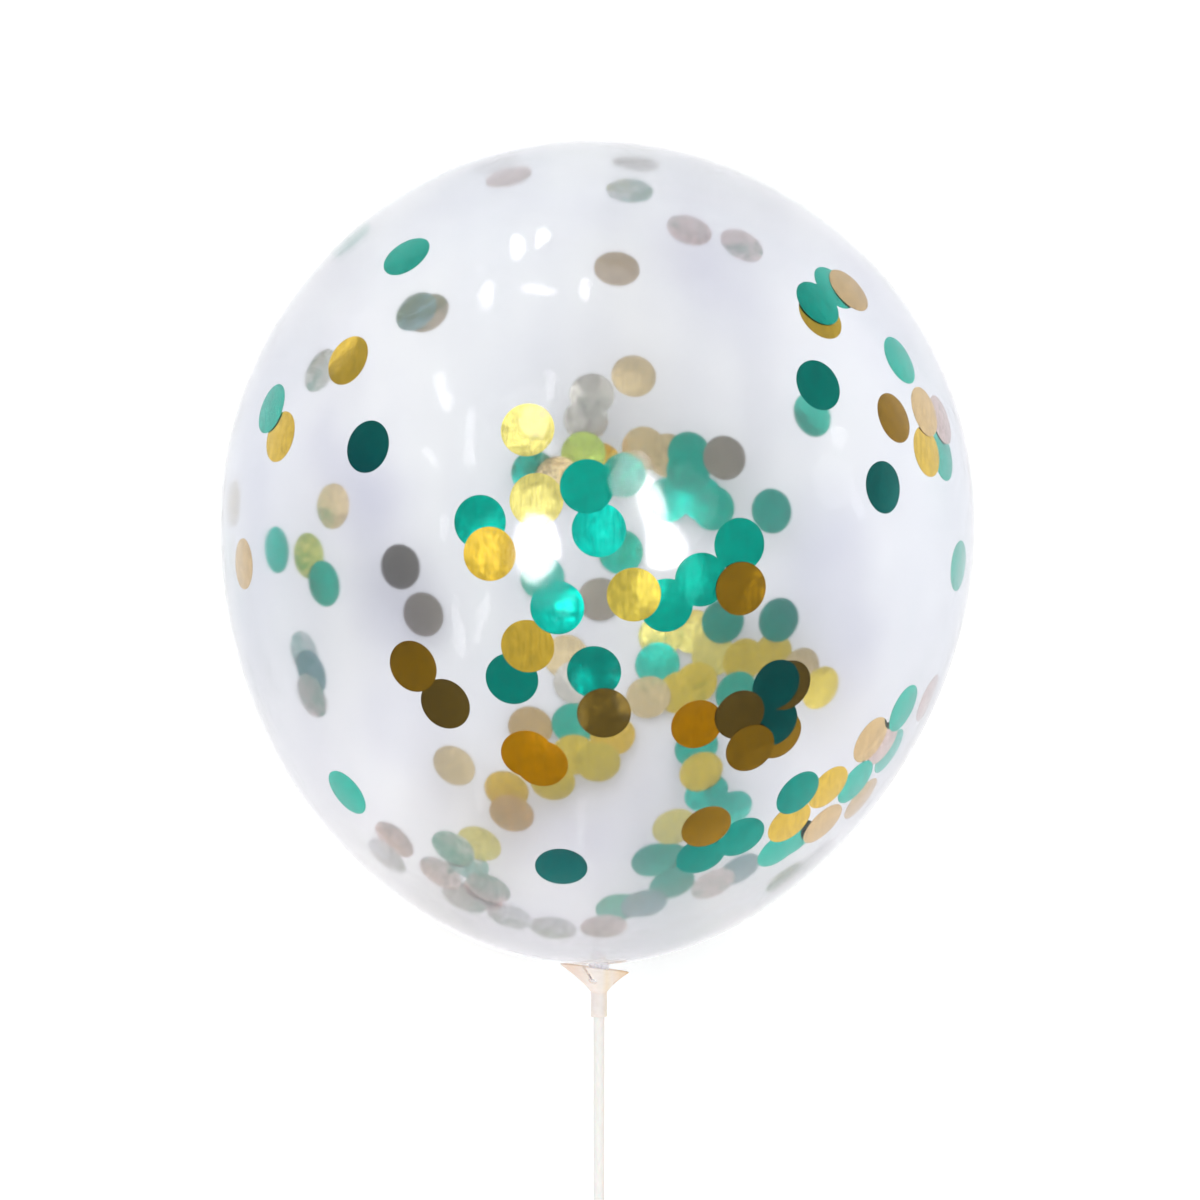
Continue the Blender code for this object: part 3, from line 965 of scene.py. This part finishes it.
# Dim lamps that a disc on a wall mirrors, in its whole face or a part of it: wall, then as above
FOIL_LAMPS = (
    (NEAR, (536, 425), (34, 36), 0.0, 1.6),
    (NEAR, (546, 506), (40, 40), 0.0, 1.2),
    (NEAR, (500, 548), (20, 40), 0.0, 1.6),
    (NEAR, (486, 532), (14, 50), 40.0, 1.2),
    (NEAR, (567, 603), (9, 30), 35.0, 7.0),
    (NEAR, (612, 535), (30, 50), 0.0, 1.0),
    (NEAR, (646, 588), (26, 44), 20.0, 1.6),
    (NEAR, (688, 580), (18, 50), 0.0, 1.4),
    (NEAR, (757, 590), (6, 40), 0.0, 3.5),
    (NEAR, (343, 355), (44, 46), 0.0, 1.0),
    (FAR, (566, 657), (40, 40), 0.0, 0.6),
    (FAR, (634, 375), (38, 36), 0.0, 0.35),
    (FAR, (675, 828), (40, 36), 0.0, 0.4),
    (FAR, (702, 773), (38, 36), 0.0, 0.3),
    (FAR, (472, 857), (50, 44), 0.0, 0.3),
    (NEAR, (622, 701), (16, 38), -30.0, 3.0),
    (NEAR, (582, 712), (7, 32), 10.0, 3.0),
    (NEAR, (575, 680), (8, 36), 10.0, 4.0),
    (NEAR, (615, 668), (7, 30), 0.0, 3.0),
    (FAR, (340, 500), (14, 40), 0.0, 1.0),
    (FAR, (585, 451), (18, 12), 0.0, 2.0),
    (FAR, (600, 613), (9, 7), 0.0, 5.0),
    (FAR, (692, 622), (7, 18), 0.0, 4.0),
    (FAR, (686, 652), (7, 9), 0.0, 5.0),
    (FAR, (463, 774), (12, 20), 0.0, 1.5),
    (FAR, (503, 788), (9, 9), 0.0, 3.0),
    (FAR, (689, 800), (8, 13), 0.0, 5.0),
)


def add_floor():
    bm = bmesh.new()
    bmesh.ops.create_grid(bm, x_segments=FLOOR_SEGMENTS, y_segments=FLOOR_SEGMENTS, size=FLOOR_HALF)
    floor = object_from(bm, "floor", floor_material())
    floor.location.z = -FLOOR_DROP


def mirrored_place(tree, wall, pixel):
    """The point at LIGHT_DISTANCE that a wall mirrors at a pixel."""
    x, y = pixel
    _, ray = pixel_ray(pixel)
    left, right, top, foot = [
        wall_hits(tree, (x + across, y + down))[wall][0]
        for across, down in ((-SLOPE_STEP, 0), (SLOPE_STEP, 0), (0, -SLOPE_STEP), (0, SLOPE_STEP))
    ]
    normal = (right - left).cross(top - foot).normalized()
    return CENTRE + ray.reflect(normal).normalized() * LIGHT_DISTANCE


def add_area_light(name, shape, size, radiance):
    data = bpy.data.lights.new(name, "AREA")
    data.shape = shape
    data.size, data.size_y = size
    lit_share = math.pi / 4 if shape == "ELLIPSE" else 1.0
    data.energy = radiance * math.pi * size[0] * size[1] * lit_share
    light = bpy.data.objects.new(name, data)
    bpy.context.scene.collection.objects.link(light)
    light.visible_camera = False
    return light


def mirror_light(tree, name, wall, pixel, pixel_size, turn_deg, radiance):
    """A soft lamp that a wall mirrors at a pixel, as a patch so many pixels wide and high."""
    x, y = pixel
    turn = math.radians(turn_deg)
    half_width, half_height = pixel_size[0] / 2, pixel_size[1] / 2
    wide = (half_width * math.cos(turn), half_width * math.sin(turn))
    high = (half_height * math.sin(turn), -half_height * math.cos(turn))
    right = mirrored_place(tree, wall, (x + wide[0], y + wide[1]))
    left = mirrored_place(tree, wall, (x - wide[0], y - wide[1]))
    top = mirrored_place(tree, wall, (x + high[0], y + high[1]))
    foot = mirrored_place(tree, wall, (x - high[0], y - high[1]))
    place = mirrored_place(tree, wall, pixel)
    back = (place - CENTRE).normalized()
    upright = (top - foot - back * (top - foot).dot(back)).normalized()
    size = ((right - left).length, (top - foot).length)
    light = add_area_light(name, "ELLIPSE", size, radiance)
    light.visible_diffuse = False
    turned = turned_to(upright.cross(back), upright, back).to_4x4()
    light.matrix_world = Matrix.Translation(place) @ turned
    return light


def add_world():
    world = bpy.data.worlds.new("studio")
    world.use_nodes = True
    bpy.context.scene.world = world
    nodes, links = world.node_tree.nodes, world.node_tree.links
    background = nodes["Background"]
    dot = node_of(nodes, "ShaderNodeVectorMath", operation="DOT_PRODUCT")
    dot.inputs[1].default_value = (0.0, 0.0, 1.0)
    links.new(nodes.new("ShaderNodeTexCoord").outputs["Generated"], dot.inputs[0])
    shade = ramp(nodes, links, dot.outputs["Value"], SKY_TINT)
    links.new(shade, background.inputs["Color"])
    background.inputs["Strength"].default_value = 1.0


def add_fill():
    """A broad soft lamp above the camera that lights matt surfaces and stays out of the mirrored ones."""
    light = add_area_light("fill_box", "RECTANGLE", FILL_SIZE, FILL_RADIANCE)
    light.location = FILL_PLACE
    light.visible_glossy = False
    light.visible_transmission = False


def only_mirrored_outside(data):
    """Lets a lamp be mirrored by the latex's outer face, and send no light through it."""
    data.cycles.max_bounces = 0
    data.use_nodes = True
    nodes, links = data.node_tree.nodes, data.node_tree.links
    outside = node_of(nodes, "ShaderNodeMath", operation="LESS_THAN")
    outside.inputs[1].default_value = OUTSIDE_DEPTH
    links.new(nodes.new("ShaderNodeLightPath").outputs["Transmission Depth"], outside.inputs[0])
    links.new(outside.outputs[0], nodes["Emission"].inputs["Strength"])


def collection_of(name, pieces):
    collection = bpy.data.collections.new(name)
    for piece in pieces:
        collection.objects.link(piece)
    return collection


def add_lights(tree, skin):
    """World, fill and lamps. The lamps light the skin alone, and discs mirror theirs through it."""
    add_world()
    add_fill()
    receivers = collection_of("lit_latex", [skin])
    for number, lamp in enumerate(WALL_LAMPS):
        light = mirror_light(tree, f"wall_lamp_{number}", NEAR, *lamp)
        light.light_linking.receiver_collection = receivers
        only_mirrored_outside(light.data)
    for number, lamp in enumerate(FOIL_LAMPS):
        light = mirror_light(tree, f"foil_lamp_{number}", *lamp)
        light.light_linking.receiver_collection = receivers


def dress_node(name, material):
    """Gives a CAD node that stays its finish."""
    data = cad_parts[name].data
    data.materials.clear()
    data.materials.append(material)


add_camera()
add_floor()
tree = skin_tree()
skin = add_skin(latex_material(tree))
add_knot(gathered_latex_material())
add_confetti(tree)
dress_node("cup", cup_material())
dress_node("stick", stick_material())
add_lights(tree, skin)
bpy.context.scene.view_settings.view_transform = "Standard"
